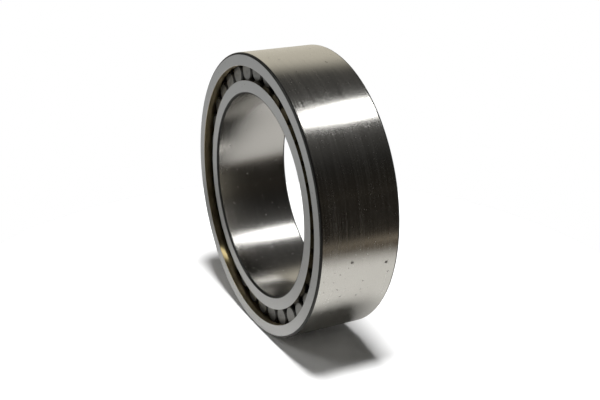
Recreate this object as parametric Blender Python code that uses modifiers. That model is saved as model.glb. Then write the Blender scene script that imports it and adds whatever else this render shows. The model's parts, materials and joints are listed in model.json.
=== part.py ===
"""Double-row, full-complement cylindrical roller bearing, 150 x 210 x 60 mm.

Metres, +Z up.  The bearing stands on its rim with its axis along Y.  The front
face, where the front row of rollers shows, looks towards -Y.  The inner ring and
both roller rows sit one axial float behind the outer ring's front face.
"""

import math

import bmesh
import bpy

COLLECTION_NAME = "cylindrical_roller_bearing"
CUTTER_COLLECTION_NAME = "cutters"

# Boundary dimensions
OUTER_DIAMETER = 0.210
BORE_DIAMETER = 0.150
RING_WIDTH = 0.060
AXIAL_FLOAT = 0.003

# Rollers
ROLLER_COUNT = 33
ROLLER_DIAMETER = 0.017
ROLLER_LENGTH = 0.0214
ROLLER_CORNER = 0.0022
ROLLER_CIRCLE_RADIUS = 0.09115
FIRST_ROLLER_ANGLE = math.radians(7.08)

# Running clearances
RADIAL_CLEARANCE = 0.00035
END_CLEARANCE = 0.0003

# Inner ring, measured along the axis from its front face
INNER_FRONT_FLANGE = 0.004
INNER_MIDDLE_FLANGE = 0.004
INNER_FLANGE_RADIUS = 0.0849
BORE_CORNER = 0.0024

# Outer ring, measured along the axis from its front face
OUTER_FLANGE = 0.0042
OUTER_FLANGE_RADIUS = 0.0956
RIM_CORNER = 0.0018
EDGE_BREAK = 0.0004

# Retaining ring behind the rear row
RETAINING_WIDTH = 0.0026
RETAINING_INNER_RADIUS = 0.0960
RETAINING_OUTER_RADIUS = 0.1016
RETAINING_SPLIT = 0.012
RETAINING_SPLIT_ANGLE = math.radians(-60.0)
GROOVE_CLEARANCE = 0.0003
GROOVE_DEPTH_CLEARANCE = 0.0004

# Bar that joins the rollers of the rear row into one solid
LINK_THICKNESS = 0.003
LINK_WIDTH = 0.004

# Faceting
RING_SEGMENTS = 72
ROLLER_SEGMENTS = 16
REAR_ROLLER_SEGMENTS = 12
CORNER_SEGMENTS = 2
MERGE_DISTANCE = 0.00001
SHARP_ANGLE = math.radians(30.0)

# Sizes that follow from the ones above
OUTER_RADIUS = OUTER_DIAMETER / 2
BORE_RADIUS = BORE_DIAMETER / 2
POCKET_WIDTH = ROLLER_LENGTH + 2 * END_CLEARANCE
INNER_RACEWAY_RADIUS = ROLLER_CIRCLE_RADIUS - ROLLER_DIAMETER / 2 - RADIAL_CLEARANCE
OUTER_RACEWAY_RADIUS = ROLLER_CIRCLE_RADIUS + ROLLER_DIAMETER / 2 + RADIAL_CLEARANCE
OUTER_FRONT_Y = -(RING_WIDTH + AXIAL_FLOAT) / 2
INNER_FRONT_Y = OUTER_FRONT_Y + AXIAL_FLOAT
FRONT_ROW_Y = INNER_FRONT_Y + INNER_FRONT_FLANGE + POCKET_WIDTH / 2
REAR_ROW_Y = FRONT_ROW_Y + POCKET_WIDTH + INNER_MIDDLE_FLANGE
REAR_ROW_END_Y = REAR_ROW_Y + POCKET_WIDTH / 2

# A ring's axis is turned from local Z to world Y
AXIS_TURN = -math.pi / 2


def clear_scene():
    """Remove every object left in the open file."""
    for old_object in list(bpy.data.objects):
        bpy.data.objects.remove(old_object, do_unlink=True)


def make_collection(name):
    """Add a collection under the scene and return it."""
    collection = bpy.data.collections.new(name)
    bpy.context.scene.collection.children.link(collection)
    return collection


def make_steel(name, color, roughness):
    """Return a steel material with the given colour and roughness."""
    material = bpy.data.materials.new(name)
    material.use_nodes = True
    shader = material.node_tree.nodes["Principled BSDF"]
    shader.inputs["Base Color"].default_value = (*color, 1.0)
    shader.inputs["Metallic"].default_value = 1.0
    shader.inputs["Roughness"].default_value = roughness
    return material


def link_object(name, mesh, collection, material, parent):
    """Add a mesh object to a collection, with its material and its parent."""
    new_object = bpy.data.objects.new(name, mesh)
    collection.objects.link(new_object)
    if material is not None:
        mesh.materials.clear()
        mesh.materials.append(material)
    new_object.parent = parent
    return new_object


def corner_arc(center, radius, start_angle, end_angle):
    """Points of a rounded corner in the (radius, axial) plane."""
    points = []
    for step in range(CORNER_SEGMENTS + 1):
        angle = start_angle + (end_angle - start_angle) * step / CORNER_SEGMENTS
        points.append((center[0] + radius * math.cos(angle), center[1] + radius * math.sin(angle)))
    return points


def evaluated_mesh(source):
    """Return a new mesh with the object's modifiers applied."""
    bpy.context.view_layer.update()
    graph = bpy.context.evaluated_depsgraph_get()
    return bpy.data.meshes.new_from_object(source.evaluated_get(graph))


def turned_mesh(name, outline, segments, collection):
    """Turn a closed (radius, axial) outline about Z and return the mesh.

    The outline runs down its outer side and up its inner side.  It starts half a
    segment round, so that the ring has one facet centred at its lowest place.
    """
    half_segment = math.pi / segments
    points = [(r * math.cos(half_segment), r * math.sin(half_segment), z) for r, z in outline]
    edges = [(index, (index + 1) % len(points)) for index in range(len(points))]
    profile_mesh = bpy.data.meshes.new(name + "_profile")
    profile_mesh.from_pydata(points, edges, [])
    profile = link_object(name + "_profile", profile_mesh, collection, None, None)
    screw = profile.modifiers.new("Turn", "SCREW")
    screw.axis = "Z"
    screw.angle = 2 * math.pi
    screw.steps = segments
    screw.render_steps = segments
    screw.use_merge_vertices = True
    screw.merge_threshold = MERGE_DISTANCE
    mesh = evaluated_mesh(profile)
    bpy.data.objects.remove(profile, do_unlink=True)
    mesh.name = name
    mesh.shade_smooth()
    mesh.set_sharp_from_angle(angle=SHARP_ANGLE)
    return mesh


def cylinder_mesh(name, radius, length, segments):
    """Closed cylinder along Z, centred at its origin."""
    mesh = bpy.data.meshes.new(name)
    builder = bmesh.new()
    bmesh.ops.create_cone(
        builder,
        cap_ends=True,
        segments=segments,
        radius1=radius,
        radius2=radius,
        depth=length,
    )
    builder.to_mesh(mesh)
    builder.free()
    mesh.shade_smooth()
    mesh.set_sharp_from_angle(angle=SHARP_ANGLE)
    return mesh


def outer_ring_outline():
    """Section of the outer ring: one front flange, one raceway and a rear groove.

    The rim radius is set so that the rim's facets, not their corners, measure the
    true outer diameter.
    """
    rim = OUTER_RADIUS / math.cos(math.pi / RING_SEGMENTS)
    front = OUTER_FRONT_Y
    rear = OUTER_FRONT_Y + RING_WIDTH
    groove_front = REAR_ROW_END_Y
    groove_rear = groove_front + RETAINING_WIDTH + 2 * GROOVE_CLEARANCE
    groove_radius = RETAINING_OUTER_RADIUS + GROOVE_DEPTH_CLEARANCE
    outline = corner_arc((rim - RIM_CORNER, rear - RIM_CORNER), RIM_CORNER, math.pi / 2, 0.0)
    outline += corner_arc((rim - RIM_CORNER, front + RIM_CORNER), RIM_CORNER, 0.0, -math.pi / 2)
    outline += [
        (OUTER_FLANGE_RADIUS + EDGE_BREAK, front),
        (OUTER_FLANGE_RADIUS, front + EDGE_BREAK),
        (OUTER_FLANGE_RADIUS, front + OUTER_FLANGE),
        (OUTER_RACEWAY_RADIUS, front + OUTER_FLANGE),
        (OUTER_RACEWAY_RADIUS, groove_front),
        (groove_radius, groove_front),
        (groove_radius, groove_rear),
        (OUTER_RACEWAY_RADIUS, groove_rear),
        (OUTER_RACEWAY_RADIUS, rear - EDGE_BREAK),
        (OUTER_RACEWAY_RADIUS + EDGE_BREAK, rear),
    ]
    return outline


def inner_ring_outline():
    """Section of the inner ring: three flanges with a raceway between each two."""
    front = INNER_FRONT_Y
    rear = INNER_FRONT_Y + RING_WIDTH
    front_pocket = front + INNER_FRONT_FLANGE
    rear_pocket = front_pocket + POCKET_WIDTH + INNER_MIDDLE_FLANGE
    outline = [
        (INNER_FLANGE_RADIUS - EDGE_BREAK, rear),
        (INNER_FLANGE_RADIUS, rear - EDGE_BREAK),
    ]
    for pocket in (rear_pocket, front_pocket):
        outline += [
            (INNER_FLANGE_RADIUS, pocket + POCKET_WIDTH),
            (INNER_RACEWAY_RADIUS, pocket + POCKET_WIDTH),
            (INNER_RACEWAY_RADIUS, pocket),
            (INNER_FLANGE_RADIUS, pocket),
        ]
    outline += [
        (INNER_FLANGE_RADIUS, front + EDGE_BREAK),
        (INNER_FLANGE_RADIUS - EDGE_BREAK, front),
    ]
    bore_corner_radius = BORE_RADIUS + BORE_CORNER
    outline += corner_arc((bore_corner_radius, front + BORE_CORNER), BORE_CORNER, -math.pi / 2, -math.pi)
    outline += corner_arc((bore_corner_radius, rear - BORE_CORNER), BORE_CORNER, math.pi, math.pi / 2)
    return outline


def make_turned_ring(name, outline, collection, material, parent):
    """Turn an outline into a ring whose axis lies along Y."""
    mesh = turned_mesh(name, outline, RING_SEGMENTS, collection)
    ring = link_object(name, mesh, collection, material, parent)
    ring.rotation_euler.x = AXIS_TURN
    return ring


def make_retaining_ring(collection, cutters, material, parent):
    """Split ring of square section in the outer ring's rear groove."""
    front = REAR_ROW_END_Y + GROOVE_CLEARANCE
    rear = front + RETAINING_WIDTH
    outline = [
        (RETAINING_OUTER_RADIUS, rear),
        (RETAINING_OUTER_RADIUS, front),
        (RETAINING_INNER_RADIUS, front),
        (RETAINING_INNER_RADIUS, rear),
    ]
    ring = make_turned_ring("retaining_ring", outline, collection, material, parent)

    middle_radius = (RETAINING_INNER_RADIUS + RETAINING_OUTER_RADIUS) / 2
    cutter_depth = 3 * (RETAINING_OUTER_RADIUS - RETAINING_INNER_RADIUS)
    cutter_mesh = bpy.data.meshes.new("retaining_ring_split")
    builder = bmesh.new()
    bmesh.ops.create_cube(builder, size=1.0)
    bmesh.ops.scale(builder, vec=(cutter_depth, 3 * RETAINING_WIDTH, RETAINING_SPLIT), verts=builder.verts)
    builder.to_mesh(cutter_mesh)
    builder.free()
    cutter = link_object("retaining_ring_split", cutter_mesh, cutters, None, parent)
    cutter.location = (
        middle_radius * math.cos(RETAINING_SPLIT_ANGLE),
        (front + rear) / 2,
        middle_radius * math.sin(RETAINING_SPLIT_ANGLE),
    )
    cutter.rotation_euler.y = -RETAINING_SPLIT_ANGLE
    cutter.hide_render = True
    cutter.display_type = "WIRE"

    split = ring.modifiers.new("Split", "BOOLEAN")
    split.operation = "DIFFERENCE"
    split.solver = "EXACT"
    split.object = cutter
    return ring


def roller_place(index, row_y, angle_offset):
    """Centre of one roller of a row."""
    angle = FIRST_ROLLER_ANGLE + angle_offset + 2 * math.pi * index / ROLLER_COUNT
    return (ROLLER_CIRCLE_RADIUS * math.cos(angle), row_y, ROLLER_CIRCLE_RADIUS * math.sin(angle))


def make_front_rollers(collection, material, parent):
    """Front row: separate rollers that share one mesh, each turning on its own axis."""
    mesh = cylinder_mesh("front_roller", ROLLER_DIAMETER / 2, ROLLER_LENGTH, ROLLER_SEGMENTS)
    for index in range(ROLLER_COUNT):
        name = "front_roller_{:02d}".format(index + 1)
        roller = link_object(name, mesh, collection, material, parent)
        roller.location = roller_place(index, FRONT_ROW_Y, 0.0)
        roller.rotation_euler.x = AXIS_TURN
        corner = roller.modifiers.new("Corner", "BEVEL")
        corner.width = ROLLER_CORNER
        corner.segments = 1
        corner.limit_method = "ANGLE"
        corner.angle_limit = math.radians(60.0)


def make_rear_roller_row(collection, material, parent):
    """Rear row: rollers half a pitch round, joined by a thin bar through their middles."""
    bar_outer = ROLLER_CIRCLE_RADIUS + LINK_THICKNESS / 2
    bar_inner = ROLLER_CIRCLE_RADIUS - LINK_THICKNESS / 2
    bar_outline = [
        (bar_outer, LINK_WIDTH / 2),
        (bar_outer, -LINK_WIDTH / 2),
        (bar_inner, -LINK_WIDTH / 2),
        (bar_inner, LINK_WIDTH / 2),
    ]
    bar_mesh = turned_mesh("rear_roller_row", bar_outline, RING_SEGMENTS, collection)
    row = link_object("rear_roller_row", bar_mesh, collection, material, parent)
    row.location.y = REAR_ROW_Y
    row.rotation_euler.x = AXIS_TURN

    rollers_mesh = bpy.data.meshes.new("rear_rollers")
    builder = bmesh.new()
    for index in range(ROLLER_COUNT):
        x, _, z = roller_place(index, REAR_ROW_Y, math.pi / ROLLER_COUNT)
        made = bmesh.ops.create_cone(
            builder,
            cap_ends=True,
            segments=REAR_ROLLER_SEGMENTS,
            radius1=ROLLER_DIAMETER / 2,
            radius2=ROLLER_DIAMETER / 2,
            depth=ROLLER_LENGTH,
        )
        bmesh.ops.translate(builder, vec=(x, -z, 0.0), verts=made["verts"])
    builder.to_mesh(rollers_mesh)
    builder.free()
    rollers = link_object("rear_rollers", rollers_mesh, CUTTERS, None, parent)
    rollers.location.y = REAR_ROW_Y
    rollers.rotation_euler.x = AXIS_TURN
    rollers.hide_render = True
    rollers.display_type = "WIRE"

    join = row.modifiers.new("Join", "BOOLEAN")
    join.operation = "UNION"
    join.solver = "EXACT"
    join.object = rollers
    return row


clear_scene()
PARTS = make_collection(COLLECTION_NAME)
CUTTERS = make_collection(CUTTER_COLLECTION_NAME)

RING_STEEL = make_steel("ground_ring_steel", (0.56, 0.56, 0.55), 0.30)
ROLLER_STEEL = make_steel("roller_steel", (0.46, 0.46, 0.44), 0.35)
SPRING_STEEL = make_steel("spring_steel", (0.34, 0.33, 0.32), 0.40)

BEARING_AXIS = bpy.data.objects.new("bearing_axis", None)
PARTS.objects.link(BEARING_AXIS)

make_turned_ring("outer_ring", outer_ring_outline(), PARTS, RING_STEEL, BEARING_AXIS)
make_turned_ring("inner_ring", inner_ring_outline(), PARTS, RING_STEEL, BEARING_AXIS)
make_retaining_ring(PARTS, CUTTERS, SPRING_STEEL, BEARING_AXIS)
make_front_rollers(PARTS, ROLLER_STEEL, BEARING_AXIS)
make_rear_roller_row(PARTS, ROLLER_STEEL, BEARING_AXIS)
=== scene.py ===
"""Looks of a double-row cylindrical roller bearing that stands on its rim.

Every part of the bearing is a surface of revolution, so each one is a rounded
section in the (radius, axial) plane carried round an axis parallel to Y.
"""

import json
import math

import bpy
import numpy as np
from mathutils import Matrix, Vector


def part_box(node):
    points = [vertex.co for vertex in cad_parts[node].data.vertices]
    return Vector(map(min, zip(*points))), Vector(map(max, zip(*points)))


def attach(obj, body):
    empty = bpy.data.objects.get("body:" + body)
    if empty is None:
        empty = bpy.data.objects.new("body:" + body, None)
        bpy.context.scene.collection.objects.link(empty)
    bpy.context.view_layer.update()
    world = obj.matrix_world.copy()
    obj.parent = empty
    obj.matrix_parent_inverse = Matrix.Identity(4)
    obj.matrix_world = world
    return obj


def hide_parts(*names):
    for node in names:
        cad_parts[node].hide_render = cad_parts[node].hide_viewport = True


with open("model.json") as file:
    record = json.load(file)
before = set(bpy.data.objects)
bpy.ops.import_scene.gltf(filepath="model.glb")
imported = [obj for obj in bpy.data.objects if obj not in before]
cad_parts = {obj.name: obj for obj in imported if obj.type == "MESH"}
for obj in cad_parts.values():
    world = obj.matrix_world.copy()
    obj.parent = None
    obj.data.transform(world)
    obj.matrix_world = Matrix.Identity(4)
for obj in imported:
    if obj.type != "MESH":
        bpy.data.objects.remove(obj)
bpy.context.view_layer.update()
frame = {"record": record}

# ---------------------------------------------------------------- sizes, metres

OUTER_LOW, OUTER_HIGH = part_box("outer_ring")
INNER_LOW, INNER_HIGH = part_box("inner_ring")
ROLLER_LOW, ROLLER_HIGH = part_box("front_roller_01")
REAR_LOW, REAR_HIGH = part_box("rear_roller_row")
CLIP_LOW, CLIP_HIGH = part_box("retaining_ring")

RIM_RADIUS = OUTER_HIGH[0]
RIM_CORNER = 0.0015
OUTER_FLANGE_RADIUS = 0.0956
OUTER_FLANGE_WIDTH = 0.0042
OUTER_RACEWAY_RADIUS = 0.1000
GROOVE_RADIUS = 0.1020
GROOVE_GAP = 0.0003
BORE_RADIUS = 0.075
BORE_CORNER = 0.0014
INNER_FLANGE_RADIUS = 0.0849
INNER_RACEWAY_RADIUS = 0.0823
FRONT_FLANGE_WIDTH = 0.004
MIDDLE_FLANGE_WIDTH = 0.004
EDGE_BREAK = 0.00035
CLIP_INNER_RADIUS = 0.0960
CLIP_OUTER_RADIUS = 0.1016
CLIP_OPENING = 0.012
CLIP_OPENING_ANGLE = math.radians(-60.0)

ROLLER_RADIUS = 0.0085
ROLLER_CORNER = 0.0020
ROLLER_CROWN = 0.00006
ROLLER_CENTRE_DIMPLE = 0.0008
ROLLER_DIMPLE_DEPTH = ROLLER_CENTRE_DIMPLE * 0.3
ROLLER_END_MARGIN = 0.0003
ROLLER_GAP = 0.0003

RIM_STEPS = 432
ROLLER_STEPS = 56
ARC_STEPS = 7
FLANK_POINTS = 9
SIDE_POINT_REACH = 0.4

# The front rollers' own joints say where each one stands
ALL_JOINTS = frame["record"]["behaviour"]["joints"]
ROLLER_JOINTS = [joint for joint in ALL_JOINTS if joint["name"].endswith("_spin")]
ROLLER_COUNT = len(ROLLER_JOINTS)

# Numbers of the finishes, which are also their places in a piece's list of materials
RIM, FACE, TRACK, BORE, CORNER, SHADED = 0, 1, 2, 3, 4, 5
ROLLER_END, ROLLER_FLANK, ROLLER_EDGE = 0, 1, 2
SPRING = 0


# ---------------------------------------------------------------- turned surfaces


def rounded_section(corners):
    """Round the corners of a closed (radius, axial) outline.

    Each corner gives way to an arc that is tangent to both of its sides.  The arc
    starts fillet / tan(half angle) away from the corner, and its centre lies on the
    bisector.  One more point on each side, SIDE_POINT_REACH fillets past the arc,
    keeps the flat beside the arc flat.
    Returns the points and the finish number of the strip after each point.  A
    corner with a fifth entry gives its arc that finish.
    """
    place = np.array([corner[:2] for corner in corners], dtype=float)
    fillet = np.array([corner[2] for corner in corners], dtype=float)[:, None]
    finish = np.array([corner[3] for corner in corners])
    own_finish = np.array([corner[4] if len(corner) > 4 else -1 for corner in corners])
    back = np.roll(place, 1, axis=0) - place
    ahead = np.roll(place, -1, axis=0) - place
    back /= np.linalg.norm(back, axis=1, keepdims=True)
    ahead /= np.linalg.norm(ahead, axis=1, keepdims=True)
    half = np.arccos(np.clip(np.sum(back * ahead, axis=1, keepdims=True), -1.0, 1.0)) / 2
    reach = fillet / np.tan(half)
    bisector = back + ahead
    bisector /= np.linalg.norm(bisector, axis=1, keepdims=True)
    centre = place + bisector * fillet / np.sin(half)
    start = place + back * reach - centre
    end = place + ahead * reach - centre
    first = np.arctan2(start[:, 1], start[:, 0])[:, None]
    sweep = np.arctan2(end[:, 1], end[:, 0])[:, None] - first
    sweep = (sweep + np.pi) % (2 * np.pi) - np.pi
    angle = first + sweep * np.linspace(0.0, 1.0, ARC_STEPS)[None, :]
    arc = centre[:, None, :] + fillet[:, :, None] * np.stack([np.cos(angle), np.sin(angle)], axis=-1)
    before = (arc[:, 0] + back * fillet * SIDE_POINT_REACH)[:, None]
    after = (arc[:, -1] + ahead * fillet * SIDE_POINT_REACH)[:, None]
    points = np.concatenate([before, arc, after], axis=1)
    per_corner = points.shape[1]
    local = np.tile(np.arange(per_corner), len(corners))
    finish_before = np.repeat(np.roll(finish, 1), per_corner)
    finish_after = np.repeat(finish, per_corner)
    strip = np.where(local < per_corner // 2, finish_before, finish_after)
    own = np.repeat(own_finish, per_corner)
    on_arc = (local >= 1) & (local < ARC_STEPS) & (own >= 0)
    return points.reshape(-1, 2), np.where(on_arc, own, strip)


def put_mesh(name, points, faces, face_finish, materials):
    """Make a smooth mesh object at the origin from arrays of points and faces."""
    mesh = bpy.data.meshes.new(name)
    mesh.from_pydata(points.tolist(), [], faces)
    for material in materials:
        mesh.materials.append(material)
    mesh.polygons.foreach_set("material_index", np.asarray(face_finish, dtype=np.int32))
    mesh.shade_smooth()
    mesh.update()
    piece = bpy.data.objects.new(name, mesh)
    bpy.context.scene.collection.objects.link(piece)
    return piece


def swept_points(section, angles, centre=(0.0, 0.0)):
    """Points at centre + radius * (cos, sin) in X and Z, with the axial place in Y."""
    radius, axial = section[None, :, 0], section[None, :, 1]
    x = centre[0] + radius * np.cos(angles)[:, None]
    z = centre[1] + radius * np.sin(angles)[:, None]
    y = np.broadcast_to(axial, x.shape)
    return np.stack([x, y, z], axis=-1).reshape(-1, 3)


def turned_ring(name, corners, materials):
    """Carry a closed rounded section all the way round the bearing's axis."""
    section, strip = rounded_section(corners)
    count = len(section)
    angles = 2 * np.pi * np.arange(RIM_STEPS) / RIM_STEPS
    turn, place = np.meshgrid(np.arange(RIM_STEPS), np.arange(count), indexing="ij")
    next_turn = (turn + 1) % RIM_STEPS
    next_place = (place + 1) % count
    corner_ids = [turn * count + place, turn * count + next_place,
                  next_turn * count + next_place, next_turn * count + place]
    faces = np.stack(corner_ids, axis=-1).reshape(-1, 4)
    return put_mesh(name, swept_points(section, angles), faces.tolist(), np.tile(strip, RIM_STEPS), materials)


def split_ring(name, corners, opening, opening_angle, materials):
    """Carry a closed section round all but an opening, and close both cut ends."""
    section, strip = rounded_section(corners)
    count = len(section)
    half_opening = opening / 2 / np.mean(section[:, 0])
    angles = opening_angle + np.linspace(half_opening, 2 * np.pi - half_opening, RIM_STEPS)
    turn, place = np.meshgrid(np.arange(RIM_STEPS - 1), np.arange(count), indexing="ij")
    next_place = (place + 1) % count
    corner_ids = [turn * count + place, turn * count + next_place,
                  (turn + 1) * count + next_place, (turn + 1) * count + place]
    faces = np.stack(corner_ids, axis=-1).reshape(-1, 4).tolist()
    faces.append(list(range(count))[::-1])
    faces.append(list(range((RIM_STEPS - 1) * count, RIM_STEPS * count)))
    finish = np.concatenate([np.tile(strip, RIM_STEPS - 1), [strip[0], strip[0]]])
    return put_mesh(name, swept_points(section, angles), faces, finish, materials)


def roller_section(length):
    """Half section of a roller, from the middle of one end to the middle of the other.

    The flank is crowned: its radius falls by the crown times the square of the
    distance from the middle.  A quarter circle joins flank and end, and a shallow
    turned dimple marks the middle of each end.  Also returns how many points make
    one end before its quarter circle starts.
    """
    half = length / 2
    quarter = np.linspace(0.0, np.pi / 2, ARC_STEPS)
    along = np.linspace(-1.0, 1.0, FLANK_POINTS)
    flat = half - ROLLER_CORNER
    flank = np.stack([ROLLER_RADIUS - ROLLER_CROWN * along ** 2, flat * along], axis=-1)
    edge_radius = flank[0, 0] - ROLLER_CORNER
    arc_radius = edge_radius + ROLLER_CORNER * np.sin(quarter)
    arc_axial = -flat - ROLLER_CORNER * np.cos(quarter)
    arc = np.stack([arc_radius, arc_axial], axis=-1)
    end = np.array([
        [0.0, -half + ROLLER_DIMPLE_DEPTH],
        [ROLLER_CENTRE_DIMPLE, -half + ROLLER_DIMPLE_DEPTH * 0.4],
        [ROLLER_CENTRE_DIMPLE * 1.5, -half],
        [edge_radius * 0.5, -half],
        [edge_radius - ROLLER_END_MARGIN, -half],
    ])
    front = np.concatenate([end, arc])
    rear = front[::-1] * [1.0, -1.0]
    return np.concatenate([front, flank[1:-1], rear]), len(end)


def turned_roller(name, centre, middle_y, length, materials):
    """Carry a roller's half section round the roller's own axis; each end closes in one point."""
    section, end_count = roller_section(length)
    section = section + [0.0, middle_y]
    inner = section[1:-1]
    count = len(inner)
    angles = 2 * np.pi * np.arange(ROLLER_STEPS) / ROLLER_STEPS
    ring_points = swept_points(inner, angles, centre)
    poles = np.array([[centre[0], section[0, 1], centre[1]], [centre[0], section[-1, 1], centre[1]]])
    turn, place = np.meshgrid(np.arange(ROLLER_STEPS), np.arange(count - 1), indexing="ij")
    next_turn = (turn + 1) % ROLLER_STEPS
    quads = np.stack([turn * count + place, turn * count + place + 1,
                      next_turn * count + place + 1, next_turn * count + place], axis=-1).reshape(-1, 4)
    step = np.arange(ROLLER_STEPS)
    after = (step + 1) % ROLLER_STEPS
    front_pole = np.full(ROLLER_STEPS, len(ring_points))
    fans = np.concatenate([
        np.stack([front_pole, step * count, after * count], axis=-1),
        np.stack([front_pole + 1, after * count + count - 1, step * count + count - 1], axis=-1),
    ])
    edge_strips = end_count + ARC_STEPS - 2
    strip = np.full(count - 1, ROLLER_FLANK)
    strip[:edge_strips] = ROLLER_EDGE
    strip[-edge_strips:] = ROLLER_EDGE
    strip[:end_count - 1] = ROLLER_END
    strip[-(end_count - 1):] = ROLLER_END
    finish = np.concatenate([np.tile(strip, ROLLER_STEPS), np.full(2 * ROLLER_STEPS, ROLLER_END)])
    points = np.concatenate([ring_points, poles])
    return put_mesh(name, points, quads.tolist() + fans.tolist(), finish, materials)


# ---------------------------------------------------------------- finishes

# Each mark shows where its noise lies between these two values, from none to full
FRECKLE_RANGE = (0.69, 0.76)
FRECKLE_PATCH_RANGE = (0.46, 0.62)
PIT_RANGE = (0.80, 0.83)
SCRATCH_PATCH_RANGE = (0.60, 0.68)
SCRATCH_WIDTH = 0.006
SCRATCH_STRETCH = (60.0, 34.0, 60.0)

FRECKLE_COLOUR = (0.86, 0.85, 0.82)
SCRATCH_COLOUR = (0.80, 0.79, 0.76)
PIT_COLOUR = (0.05, 0.045, 0.04)
MARK_ROUGHNESS = 0.25

# Heights of the marks as multiples of the grinding lines' height
FINE_LINE_RISE = 0.4
SCRATCH_RISE = -1.5
PIT_RISE = -3.0

# Share of all those heights that the bump shows
BUMP_STRENGTH = 0.6

# A dent's ragged edge, as multiples of its radius, and how dark its middle is
DENT_RAGGED = 2.6
DENT_FULL = 1.75
DENT_NONE = 2.1
DENT_DARKNESS = 0.85


def new_group(name, inputs, outputs):
    """Start a shader node group with named number, colour or vector sockets."""
    group = bpy.data.node_groups.new(name, "ShaderNodeTree")
    for label, kind, value in inputs:
        socket = group.interface.new_socket(label, in_out="INPUT", socket_type=kind)
        if value is not None:
            socket.default_value = value
    for label, kind in outputs:
        group.interface.new_socket(label, in_out="OUTPUT", socket_type=kind)
    return group, group.nodes.new("NodeGroupInput"), group.nodes.new("NodeGroupOutput")


def number_node(tree, operation, *values, clamp=False):
    """Add a Math node; each value is a number or a socket."""
    node = tree.nodes.new("ShaderNodeMath")
    node.operation = operation
    node.use_clamp = clamp
    for index, value in enumerate(values):
        if isinstance(value, (int, float)):
            node.inputs[index].default_value = value
        else:
            tree.links.new(value, node.inputs[index])
    return node.outputs[0]


def noise_node(tree, place, scale, detail=2.0, roughness=0.5):
    """Add a noise texture read at a place, and return its value."""
    node = tree.nodes.new("ShaderNodeTexNoise")
    node.inputs["Scale"].default_value = scale
    node.inputs["Detail"].default_value = detail
    node.inputs["Roughness"].default_value = roughness
    tree.links.new(place, node.inputs["Vector"])
    return node.outputs["Fac"]


def range_node(tree, value, low, high, new_low=0.0, new_high=1.0):
    """Map a value from one range to another, smoothly and clamped."""
    node = tree.nodes.new("ShaderNodeMapRange")
    node.interpolation_type = "SMOOTHSTEP"
    tree.links.new(value, node.inputs["Value"])
    for label, number in (("From Min", low), ("From Max", high), ("To Min", new_low), ("To Max", new_high)):
        if isinstance(number, (int, float)):
            node.inputs[label].default_value = number
        else:
            tree.links.new(number, node.inputs[label])
    return node.outputs["Result"]


def make_grinding_group():
    """Grinding lines that run round the axis.

    The pattern is noise that changes slowly across X and Z and fast along the
    axis and along the radius, so it draws out into rings on rims, bores and faces.
    """
    group, source, sink = new_group(
        "grinding_lines",
        [("Place", "NodeSocketVector", None), ("Axial Rate", "NodeSocketFloat", 900.0),
         ("Radial Rate", "NodeSocketFloat", 900.0), ("Run Out", "NodeSocketFloat", 14.0)],
        [("Lines", "NodeSocketFloat"), ("Fine Lines", "NodeSocketFloat")],
    )
    split = group.nodes.new("ShaderNodeSeparateXYZ")
    group.links.new(source.outputs["Place"], split.inputs[0])
    across = number_node(group, "MULTIPLY", split.outputs["X"], split.outputs["X"])
    upward = number_node(group, "MULTIPLY", split.outputs["Z"], split.outputs["Z"])
    radius = number_node(group, "SQRT", number_node(group, "ADD", across, upward))
    axial = number_node(group, "MULTIPLY", split.outputs["Y"], source.outputs["Axial Rate"])
    radial = number_node(group, "MULTIPLY", radius, source.outputs["Radial Rate"])
    depth = number_node(group, "ADD", axial, radial)
    join = group.nodes.new("ShaderNodeCombineXYZ")
    for axis in ("X", "Z"):
        slow = number_node(group, "MULTIPLY", split.outputs[axis], source.outputs["Run Out"])
        group.links.new(slow, join.inputs[axis])
    group.links.new(depth, join.inputs["Y"])
    group.links.new(noise_node(group, join.outputs[0], 1.0, 3.0, 0.65), sink.inputs["Lines"])
    group.links.new(noise_node(group, join.outputs[0], 5.0, 1.0), sink.inputs["Fine Lines"])
    return group


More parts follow.
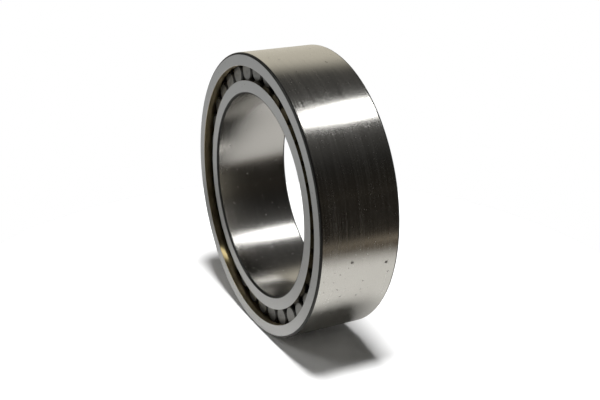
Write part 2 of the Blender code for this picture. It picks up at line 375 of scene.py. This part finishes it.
def make_marks_group():
    """Handling marks as masks: small pits, pale freckles, hairline scratches and smudges."""
    group, source, sink = new_group(
        "handling_marks",
        [("Place", "NodeSocketVector", None), ("Amount", "NodeSocketFloat", 0.5)],
        [("Pits", "NodeSocketFloat"), ("Freckles", "NodeSocketFloat"), ("Scratches", "NodeSocketFloat"),
         ("Smudge", "NodeSocketFloat")],
    )
    place = source.outputs["Place"]
    smudge = noise_node(group, place, 28.0, 3.0, 0.55)
    patch = range_node(group, noise_node(group, place, 45.0, 1.0), *FRECKLE_PATCH_RANGE)
    fleck = range_node(group, noise_node(group, place, 900.0, 1.0), *FRECKLE_RANGE)
    pit = range_node(group, noise_node(group, place, 420.0, 0.0), *PIT_RANGE)
    amount = source.outputs["Amount"]
    group.links.new(number_node(group, "MULTIPLY", number_node(group, "MULTIPLY", fleck, patch), amount),
                    sink.inputs["Freckles"])
    group.links.new(number_node(group, "MULTIPLY", pit, amount), sink.inputs["Pits"])
    warp = group.nodes.new("ShaderNodeVectorMath")
    warp.operation = "MULTIPLY_ADD"
    group.links.new(place, warp.inputs[0])
    warp.inputs[1].default_value = SCRATCH_STRETCH
    cloud = group.nodes.new("ShaderNodeTexNoise")
    cloud.inputs["Scale"].default_value = 18.0
    group.links.new(place, cloud.inputs["Vector"])
    group.links.new(cloud.outputs["Color"], warp.inputs[2])
    crack = group.nodes.new("ShaderNodeTexVoronoi")
    crack.feature = "DISTANCE_TO_EDGE"
    crack.inputs["Scale"].default_value = 1.0
    group.links.new(warp.outputs[0], crack.inputs["Vector"])
    hair = range_node(group, crack.outputs["Distance"], 0.0, SCRATCH_WIDTH, 1.0, 0.0)
    gate = range_node(group, noise_node(group, place, 70.0, 0.0), *SCRATCH_PATCH_RANGE)
    group.links.new(number_node(group, "MULTIPLY", number_node(group, "MULTIPLY", hair, gate), amount),
                    sink.inputs["Scratches"])
    group.links.new(smudge, sink.inputs["Smudge"])
    return group


GRINDING = make_grinding_group()
MARKS = make_marks_group()


def mix_colours(tree, factor, first, second):
    """Mix two colours, each a tuple or a socket, by a factor socket."""
    node = tree.nodes.new("ShaderNodeMix")
    node.data_type = "RGBA"
    tree.links.new(factor, node.inputs["Factor"])
    for label, value in (("A", first), ("B", second)):
        socket = [entry for entry in node.inputs if entry.name == label and entry.type == "RGBA"][0]
        if isinstance(value, tuple):
            socket.default_value = (*value, 1.0)
        else:
            tree.links.new(value, socket)
    return [entry for entry in node.outputs if entry.type == "RGBA"][0]


def make_steel(name, bright, dull, roughness, roughness_play, axial_rate=900.0, radial_rate=900.0,
               line_height=0.000004, marks=0.5, anisotropy=0.0, dents=()):
    """Steel whose colour, roughness and height follow its grinding lines and handling marks.

    Each dent is the place (x, y, z) and the radius of one ragged dark knock.
    """
    material = bpy.data.materials.new(name)
    material.use_nodes = True
    tree = material.node_tree
    shader = tree.nodes["Principled BSDF"]
    shader.inputs["Metallic"].default_value = 1.0
    place = tree.nodes.new("ShaderNodeTexCoord").outputs["Object"]
    lines = tree.nodes.new("ShaderNodeGroup")
    lines.node_tree = GRINDING
    lines.inputs["Axial Rate"].default_value = axial_rate
    lines.inputs["Radial Rate"].default_value = radial_rate
    tree.links.new(place, lines.inputs["Place"])
    wear = tree.nodes.new("ShaderNodeGroup")
    wear.node_tree = MARKS
    wear.inputs["Amount"].default_value = marks
    tree.links.new(place, wear.inputs["Place"])

    pits = wear.outputs["Pits"]
    for *centre, radius in dents:
        gap = tree.nodes.new("ShaderNodeVectorMath")
        gap.operation = "DISTANCE"
        tree.links.new(place, gap.inputs[0])
        gap.inputs[1].default_value = centre
        ragged = number_node(tree, "MULTIPLY_ADD", noise_node(tree, place, 1400.0, 1.0),
                             DENT_RAGGED * radius, gap.outputs["Value"])
        dent = range_node(tree, ragged, DENT_FULL * radius, DENT_NONE * radius, DENT_DARKNESS, 0.0)
        pits = number_node(tree, "MAXIMUM", pits, dent)

    spread = range_node(tree, lines.outputs["Lines"], 0.3, 0.7)
    line_tone = number_node(tree, "MULTIPLY", spread, 0.4)
    tone = number_node(tree, "MULTIPLY_ADD", wear.outputs["Smudge"], 0.6, line_tone)
    colour = mix_colours(tree, tone, dull, bright)
    colour = mix_colours(tree, wear.outputs["Freckles"], colour, FRECKLE_COLOUR)
    colour = mix_colours(tree, wear.outputs["Scratches"], colour, SCRATCH_COLOUR)
    colour = mix_colours(tree, pits, colour, PIT_COLOUR)
    tree.links.new(colour, shader.inputs["Base Color"])

    rough = number_node(tree, "MULTIPLY_ADD", spread, roughness_play, roughness - roughness_play / 2)
    rough = number_node(tree, "MULTIPLY_ADD", wear.outputs["Smudge"], roughness_play / 2, rough)
    marked = number_node(tree, "ADD", wear.outputs["Freckles"], pits)
    rough = number_node(tree, "MULTIPLY_ADD", marked, MARK_ROUGHNESS, rough, clamp=True)
    tree.links.new(rough, shader.inputs["Roughness"])

    height = number_node(tree, "MULTIPLY_ADD", lines.outputs["Fine Lines"], FINE_LINE_RISE,
                         lines.outputs["Lines"])
    height = number_node(tree, "MULTIPLY_ADD", wear.outputs["Scratches"], SCRATCH_RISE, height)
    height = number_node(tree, "MULTIPLY_ADD", pits, PIT_RISE, height)
    bump = tree.nodes.new("ShaderNodeBump")
    bump.inputs["Strength"].default_value = BUMP_STRENGTH
    bump.inputs["Distance"].default_value = line_height
    tree.links.new(height, bump.inputs["Height"])
    tree.links.new(bump.outputs["Normal"], shader.inputs["Normal"])
    if anisotropy:
        shader.inputs["Anisotropic"].default_value = anisotropy
        shader.inputs["Anisotropic Rotation"].default_value = 0.25
        tangent = tree.nodes.new("ShaderNodeTangent")
        tangent.direction_type = "RADIAL"
        tangent.axis = "Y"
        tree.links.new(tangent.outputs[0], shader.inputs["Tangent"])
    return material


RIM_DENTS = [(0.1040, -0.0075, -0.0148, 0.0017), (0.1031, 0.0195, -0.0201, 0.0017)]

RIM_STEEL = make_steel("ground_rim_steel", (0.60, 0.59, 0.56), (0.54, 0.53, 0.50), 0.18, 0.12,
                       axial_rate=1500.0, line_height=0.000002, marks=0.4, anisotropy=0.3, dents=RIM_DENTS)
BORE_STEEL = make_steel("ground_bore_steel", (0.51, 0.50, 0.48), (0.45, 0.44, 0.42), 0.20, 0.07,
                        axial_rate=2600.0, line_height=0.000001, marks=0.2, anisotropy=0.3)
FACE_STEEL = make_steel("lapped_face_steel", (0.595, 0.60, 0.60), (0.545, 0.55, 0.55), 0.46, 0.08,
                        axial_rate=200.0, radial_rate=1800.0, line_height=0.000003, marks=0.3)
TRACK_STEEL = make_steel("oiled_raceway_steel", (0.68, 0.58, 0.37), (0.54, 0.45, 0.28), 0.34, 0.08,
                         line_height=0.000001, marks=0.2)
# Painted shade: a dark copy of the raceway steel's colour for the inner ring's flanges and raceways, which
# lie in shade between the rings
SHADED_STEEL = make_steel("shaded_flange_steel", (0.20, 0.17, 0.11), (0.13, 0.11, 0.075), 0.22, 0.06,
                          line_height=0.000001, marks=0.2)
# Painted shade: the near-black corner steel darkens the rings' rounded corners and the rollers' edges, where
# shade and dark reflections fall
PAINTED_SHADE_CORNER_STEEL = make_steel("painted_shade_corner_steel", (0.075, 0.075, 0.072), (0.045, 0.045, 0.045), 0.45, 0.10,
                          line_height=0.000003, marks=0.1)
# The roller ends' grey is darker than the ring faces: partly their dull ground finish, partly painted shade
# for their place recessed between the rings
ROLLER_END_STEEL = make_steel("roller_end_steel", (0.34, 0.34, 0.33), (0.24, 0.24, 0.235), 0.46, 0.10,
                              axial_rate=200.0, radial_rate=300.0, marks=0.4)
ROLLER_FLANK_STEEL = make_steel("roller_flank_steel", (0.30, 0.285, 0.25), (0.22, 0.21, 0.19), 0.24, 0.08,
                                radial_rate=0.0, marks=0.2)
SPRING_STEEL = make_steel("tempered_spring_steel", (0.33, 0.32, 0.31), (0.22, 0.21, 0.20), 0.38, 0.12,
                          marks=0.6)

# ---------------------------------------------------------------- pieces

RING_FINISHES = [RIM_STEEL, FACE_STEEL, TRACK_STEEL, BORE_STEEL, PAINTED_SHADE_CORNER_STEEL, SHADED_STEEL]
# The rollers' edges take the near-black corner steel, a painted shade
ROLLER_FINISHES = [ROLLER_END_STEEL, ROLLER_FLANK_STEEL, PAINTED_SHADE_CORNER_STEEL]


def make_outer_ring():
    """Outer ring: ground rim, front flange, one wide raceway and a groove for the spring ring."""
    front, rear = OUTER_LOW[1], OUTER_HIGH[1]
    groove_front, groove_rear = CLIP_LOW[1] - GROOVE_GAP, CLIP_HIGH[1] + GROOVE_GAP
    corners = [
        (RIM_RADIUS, front, RIM_CORNER, RIM, CORNER),
        (RIM_RADIUS, rear, RIM_CORNER, FACE, CORNER),
        (OUTER_RACEWAY_RADIUS, rear, EDGE_BREAK, TRACK),
        (OUTER_RACEWAY_RADIUS, groove_rear, EDGE_BREAK, TRACK),
        (GROOVE_RADIUS, groove_rear, EDGE_BREAK, TRACK),
        (GROOVE_RADIUS, groove_front, EDGE_BREAK, TRACK),
        (OUTER_RACEWAY_RADIUS, groove_front, EDGE_BREAK, TRACK),
        (OUTER_RACEWAY_RADIUS, front + OUTER_FLANGE_WIDTH, EDGE_BREAK, TRACK),
        (OUTER_FLANGE_RADIUS, front + OUTER_FLANGE_WIDTH, EDGE_BREAK, TRACK),
        (OUTER_FLANGE_RADIUS, front, EDGE_BREAK, FACE),
    ]
    return turned_ring("outer_ring_body", corners, RING_FINISHES)


def make_inner_ring():
    """Inner ring: ground bore with rounded ends, three flanges and two raceways."""
    front, rear = INNER_LOW[1], INNER_HIGH[1]
    pocket = ROLLER_HIGH[1] - ROLLER_LOW[1] + 2 * ROLLER_GAP
    first = front + FRONT_FLANGE_WIDTH
    second = first + pocket + MIDDLE_FLANGE_WIDTH
    # The flanges and raceways take SHADED, whose dark colour is painted shade
    corners = [
        (BORE_RADIUS, front, BORE_CORNER, FACE, CORNER),
        (INNER_FLANGE_RADIUS, front, EDGE_BREAK, SHADED),
    ]
    for start in (first, second):
        corners += [
            (INNER_FLANGE_RADIUS, start, EDGE_BREAK, SHADED),
            (INNER_RACEWAY_RADIUS, start, EDGE_BREAK, SHADED),
            (INNER_RACEWAY_RADIUS, start + pocket, EDGE_BREAK, SHADED),
            (INNER_FLANGE_RADIUS, start + pocket, EDGE_BREAK, SHADED),
        ]
    corners += [(INNER_FLANGE_RADIUS, rear, EDGE_BREAK, FACE), (BORE_RADIUS, rear, BORE_CORNER, BORE, CORNER)]
    return turned_ring("inner_ring_body", corners, RING_FINISHES)


def make_spring_ring():
    """Split spring ring of square section that holds the rear rollers in."""
    corners = [
        (CLIP_OUTER_RADIUS, CLIP_LOW[1], EDGE_BREAK / 2, SPRING),
        (CLIP_OUTER_RADIUS, CLIP_HIGH[1], EDGE_BREAK / 2, SPRING),
        (CLIP_INNER_RADIUS, CLIP_HIGH[1], EDGE_BREAK / 2, SPRING),
        (CLIP_INNER_RADIUS, CLIP_LOW[1], EDGE_BREAK / 2, SPRING),
    ]
    return split_ring("spring_ring", corners, CLIP_OPENING, CLIP_OPENING_ANGLE, [SPRING_STEEL])


def place_rollers():
    """Both roller rows: the front row stands on its joints, the rear row half a pitch round."""
    length = ROLLER_HIGH[1] - ROLLER_LOW[1]
    front_middle = (ROLLER_LOW[1] + ROLLER_HIGH[1]) / 2
    rear_middle = (REAR_LOW[1] + REAR_HIGH[1]) / 2
    half_pitch = math.pi / ROLLER_COUNT
    for number, joint in enumerate(ROLLER_JOINTS, start=1):
        x, _, z = joint["pos_m"]
        front = turned_roller("roller_front_{:02d}".format(number), (x, z), front_middle, length,
                              ROLLER_FINISHES)
        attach(front, joint["child"])
        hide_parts(joint["child"])
        rear_x = x * math.cos(half_pitch) - z * math.sin(half_pitch)
        rear_z = x * math.sin(half_pitch) + z * math.cos(half_pitch)
        rear = turned_roller("roller_rear_{:02d}".format(number), (rear_x, rear_z), rear_middle, length,
                             ROLLER_FINISHES)
        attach(rear, "roller_set")
        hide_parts("rear_roller_row")


outer_ring = make_outer_ring()
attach(outer_ring, "outer_ring")
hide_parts("outer_ring")

inner_ring = make_inner_ring()
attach(inner_ring, "inner_ring")
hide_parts("inner_ring")

spring_ring = make_spring_ring()
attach(spring_ring, "outer_ring")
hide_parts("retaining_ring")

place_rollers()

# ---------------------------------------------------------------- floor, light, camera

STAND_HEIGHT = OUTER_LOW[2]
STAND_FRONT = OUTER_LOW[1]
FLOOR_RADIUS = 0.30
FLOOR_GAP = 0.0002
FLOOR_RINGS = 12
FLOOR_SPOKES = 96

# How the table looks in reflections, painted into its colour: its share of light, its darker edge and painted
# shade in front
FLOOR_SHINE = 0.50
FLOOR_SHINE_TINT = (1.0, 0.985, 0.95)
FLOOR_EDGE_COLOUR = (0.055, 0.043, 0.029)
FLOOR_EDGE_FADE = (0.18, 0.275)
FRONT_SHADE_START = -0.12
FRONT_SHADE = 0.55

# Light of the room on matt surfaces
TABLE_FILL = 0.05

# Glow of the room by the upward part of a ray's direction: the two values between
# which it changes, and its strength at each
CEILING_GLOW = (0.45, 0.80, 0.018, 0.065)
TABLE_EDGE_GLOW = (-0.46, -0.34, 0.32, 0.0)
ROOM_TINT_RANGE = (0.20, 0.60)
ROOM_TINT_LOW = (1.0, 0.85, 0.66)
ROOM_TINT_HIGH = (1.0, 0.97, 0.92)

# A thin level line of light, and how it fades away from its own height
LIGHT_LINE_HEIGHT = 0.155
LIGHT_LINE_GLOW = (0.0, 0.012, 0.05, 0.0)

# Soft areas of light in the reflections: elevation and azimuth in degrees, the
# angles at which each is full and gone, its strength and its colour
WORLD_LOBES = [
    (12.0, 153.0, 18.0, 42.0, 0.70, (1.0, 0.94, 0.80)),
    (-43.0, -150.0, 5.0, 46.0, 0.86, (0.98, 1.0, 1.0)),
    (-8.0, 92.0, 18.0, 46.0, 0.85, (0.99, 1.0, 1.0)),
    (42.0, -112.0, 8.0, 14.0, 5.0, (1.0, 1.0, 0.98)),
    (-8.0, -86.0, 16.0, 44.0, 0.65, (0.99, 1.0, 1.0)),
]

CAMERA_AZIMUTH = math.radians(63.51)
CAMERA_ELEVATION = math.radians(20.85)
CAMERA_DISTANCE = 0.7002
CAMERA_LENS = 56.35
CAMERA_SHIFT = (0.0176, -0.0166)


def make_floor():
    """Round pale table top: a disc on a polar grid just under the rim.

    In the bearing's reflections the table's colour is painted dimmer and warmer,
    with painted shade towards its edge and in front of the bearing, where it lies unlit.
    """
    material = bpy.data.materials.new("pale_table")
    material.use_nodes = True
    tree = material.node_tree
    shader = tree.nodes["Principled BSDF"]
    shader.inputs["Roughness"].default_value = 0.9
    shader.inputs["Specular IOR Level"].default_value = 0.0
    place = tree.nodes.new("ShaderNodeTexCoord").outputs["Object"]
    grain = mix_colours(tree, noise_node(tree, place, 60.0), (0.93, 0.93, 0.93), (0.95, 0.95, 0.95))
    flat = tree.nodes.new("ShaderNodeVectorMath")
    flat.operation = "MULTIPLY"
    tree.links.new(place, flat.inputs[0])
    flat.inputs[1].default_value = (1.0, 1.0, 0.0)
    length = tree.nodes.new("ShaderNodeVectorMath")
    length.operation = "LENGTH"
    tree.links.new(flat.outputs[0], length.inputs[0])
    edge = range_node(tree, length.outputs["Value"], *FLOOR_EDGE_FADE)
    # Painted reflection: rays other than the camera's see the table dimmer, darker at its edge and with
    # painted shade in front of the bearing
    dim = tuple(FLOOR_SHINE * part for part in FLOOR_SHINE_TINT)
    reflected = mix_colours(tree, edge, dim, FLOOR_EDGE_COLOUR)
    axes = tree.nodes.new("ShaderNodeSeparateXYZ")
    tree.links.new(place, axes.inputs[0])
    front_shade = range_node(tree, axes.outputs["Y"], FRONT_SHADE_START, STAND_FRONT, FRONT_SHADE, 0.0)
    reflected = mix_colours(tree, front_shade, reflected, (0.0, 0.0, 0.0))
    seen = tree.nodes.new("ShaderNodeLightPath").outputs["Is Camera Ray"]
    tree.links.new(mix_colours(tree, seen, reflected, grain), shader.inputs["Base Color"])
    height = STAND_HEIGHT - FLOOR_GAP
    radius = FLOOR_RADIUS * np.arange(1, FLOOR_RINGS + 1) / FLOOR_RINGS
    angle = 2 * np.pi * np.arange(FLOOR_SPOKES) / FLOOR_SPOKES
    x = radius[:, None] * np.cos(angle)
    y = radius[:, None] * np.sin(angle)
    points = np.stack([x, y, np.full_like(x, height)], axis=-1).reshape(-1, 3)
    points = np.concatenate([points, [[0.0, 0.0, height]]])
    ring, spoke = np.meshgrid(np.arange(FLOOR_RINGS - 1), np.arange(FLOOR_SPOKES), indexing="ij")
    beside = (spoke + 1) % FLOOR_SPOKES
    quads = np.stack([ring * FLOOR_SPOKES + spoke, (ring + 1) * FLOOR_SPOKES + spoke,
                      (ring + 1) * FLOOR_SPOKES + beside, ring * FLOOR_SPOKES + beside],
                     axis=-1).reshape(-1, 4)
    step = np.arange(FLOOR_SPOKES)
    middle = np.full(FLOOR_SPOKES, FLOOR_RINGS * FLOOR_SPOKES)
    fan = np.stack([middle, step, (step + 1) % FLOOR_SPOKES], axis=-1)
    floor = put_mesh("table_top", points, quads.tolist() + fan.tolist(),
                     np.zeros(len(quads) + FLOOR_SPOKES, dtype=int), [material])


def direction(elevation, azimuth):
    """Unit vector from degrees above the horizon and degrees from +X towards +Y."""
    up, around = math.radians(elevation), math.radians(azimuth)
    return Vector((math.cos(up) * math.cos(around), math.cos(up) * math.sin(around), math.sin(up)))


def add_softbox(name, towards, distance, size, radiance, metal_only=False, floor_only=False,
                target=(0.0, 0.0, 0.0)):
    """Rectangular light that faces a target; its power follows from its radiance and area."""
    light = bpy.data.lights.new(name, "AREA")
    light.shape = "RECTANGLE"
    light.size, light.size_y = size
    light.energy = radiance * math.pi * size[0] * size[1]
    lamp = bpy.data.objects.new(name, light)
    bpy.context.scene.collection.objects.link(lamp)
    lamp.location = Vector(target) + towards * distance
    lamp.rotation_mode = "QUATERNION"
    lamp.rotation_quaternion = towards.to_track_quat("Z", "Y")
    lamp.visible_camera = False
    if metal_only:
        lamp.visible_diffuse = False
    if floor_only:
        lamp.visible_glossy = False
    return lamp


def world_lobe(tree, ray, towards, inner, outer, strength):
    """Soft round glow about a direction: full inside the inner angle, nothing past the outer one."""
    dot = tree.nodes.new("ShaderNodeVectorMath")
    dot.operation = "DOT_PRODUCT"
    tree.links.new(ray, dot.inputs[0])
    dot.inputs[1].default_value = towards
    low, high = math.cos(math.radians(outer)), math.cos(math.radians(inner))
    return range_node(tree, dot.outputs["Value"], low, high, 0.0, strength)


def glow(tree, strength, colour):
    """Background light of a varying strength; its colour is a tuple or a socket."""
    node = tree.nodes.new("ShaderNodeBackground")
    tree.links.new(strength, node.inputs["Strength"])
    if isinstance(colour, tuple):
        node.inputs["Color"].default_value = (*colour, 1.0)
    else:
        tree.links.new(colour, node.inputs["Color"])
    return node.outputs[0]


def add_shaders(tree, first, second):
    """Sum of two shaders."""
    node = tree.nodes.new("ShaderNodeAddShader")
    tree.links.new(first, node.inputs[0])
    tree.links.new(second, node.inputs[1])
    return node.outputs[0]


def make_world():
    """Dim room with soft areas of light for the steel to mirror.

    Matt surfaces get one even fill instead, and the camera sees plain white.
    """
    world = bpy.data.worlds.new("studio")
    bpy.context.scene.world = world
    world.use_nodes = True
    tree = world.node_tree
    tree.nodes.clear()
    ray = tree.nodes.new("ShaderNodeTexCoord").outputs["Generated"]
    split = tree.nodes.new("ShaderNodeSeparateXYZ")
    tree.links.new(ray, split.inputs[0])
    ceiling = range_node(tree, split.outputs["Z"], *CEILING_GLOW)
    above_line = number_node(tree, "SUBTRACT", split.outputs["Z"], LIGHT_LINE_HEIGHT)
    line = range_node(tree, number_node(tree, "ABSOLUTE", above_line), *LIGHT_LINE_GLOW)
    table_edge = range_node(tree, split.outputs["Z"], *TABLE_EDGE_GLOW)
    room = number_node(tree, "ADD", number_node(tree, "ADD", ceiling, line), table_edge)
    high = range_node(tree, split.outputs["Z"], *ROOM_TINT_RANGE)
    shine = glow(tree, room, mix_colours(tree, high, ROOM_TINT_LOW, ROOM_TINT_HIGH))
    for elevation, azimuth, inner, outer, strength, colour in WORLD_LOBES:
        lobe = world_lobe(tree, ray, direction(elevation, azimuth), inner, outer, strength)
        shine = add_shaders(tree, shine, glow(tree, lobe, colour))
    fill = tree.nodes.new("ShaderNodeBackground")
    fill.inputs["Strength"].default_value = TABLE_FILL
    white = tree.nodes.new("ShaderNodeBackground")
    white.inputs["Color"].default_value = (1.0, 1.0, 1.0, 1.0)
    seen = tree.nodes.new("ShaderNodeLightPath")
    matt = tree.nodes.new("ShaderNodeMixShader")
    tree.links.new(seen.outputs["Is Diffuse Ray"], matt.inputs[0])
    tree.links.new(shine, matt.inputs[1])
    tree.links.new(fill.outputs[0], matt.inputs[2])
    choose = tree.nodes.new("ShaderNodeMixShader")
    tree.links.new(seen.outputs["Is Camera Ray"], choose.inputs[0])
    tree.links.new(matt.outputs[0], choose.inputs[1])
    tree.links.new(white.outputs[0], choose.inputs[2])
    out = tree.nodes.new("ShaderNodeOutputWorld")
    tree.links.new(choose.outputs[0], out.inputs["Surface"])


def make_camera():
    """Camera a little above the bearing, looking at its front face and rim."""
    azimuth, elevation = CAMERA_AZIMUTH, CAMERA_ELEVATION
    back = Vector((math.sin(azimuth) * math.cos(elevation), -math.cos(azimuth) * math.cos(elevation),
                   math.sin(elevation)))
    right = Vector((math.cos(azimuth), math.sin(azimuth), 0.0))
    up = back.cross(right)
    data = bpy.data.cameras.new("camera")
    data.sensor_width = 36.0
    data.lens = CAMERA_LENS
    data.shift_x, data.shift_y = CAMERA_SHIFT
    camera = bpy.data.objects.new("camera", data)
    bpy.context.scene.collection.objects.link(camera)
    middle = Vector((0.0, (OUTER_LOW[1] + OUTER_HIGH[1]) / 2, 0.0))
    turn = Matrix((right, up, back)).transposed().to_4x4()
    camera.matrix_world = Matrix.Translation(middle + back * CAMERA_DISTANCE) @ turn
    data.clip_start = 0.01
    bpy.context.scene.camera = camera


make_floor()
add_softbox("key_softbox", direction(59.0, 62.5), 1.0, (0.25, 0.155), 9.0, metal_only=True)
add_softbox("floor_overhead", direction(79.0, -16.0), 1.2, (0.34, 0.30), 90.0, floor_only=True)
# The inner ring shades the flange's bore, so a small lamp in the gap lights its glint
glint = add_softbox("flange_glint", direction(61.0, 46.0), 0.007, (0.0035, 0.010), 1.7, metal_only=True,
                    target=(-0.0630, -0.0295, -0.0715))
glint.data.color = (1.0, 0.96, 0.76)
make_world()
make_camera()
bpy.context.scene.view_settings.view_transform = "Standard"
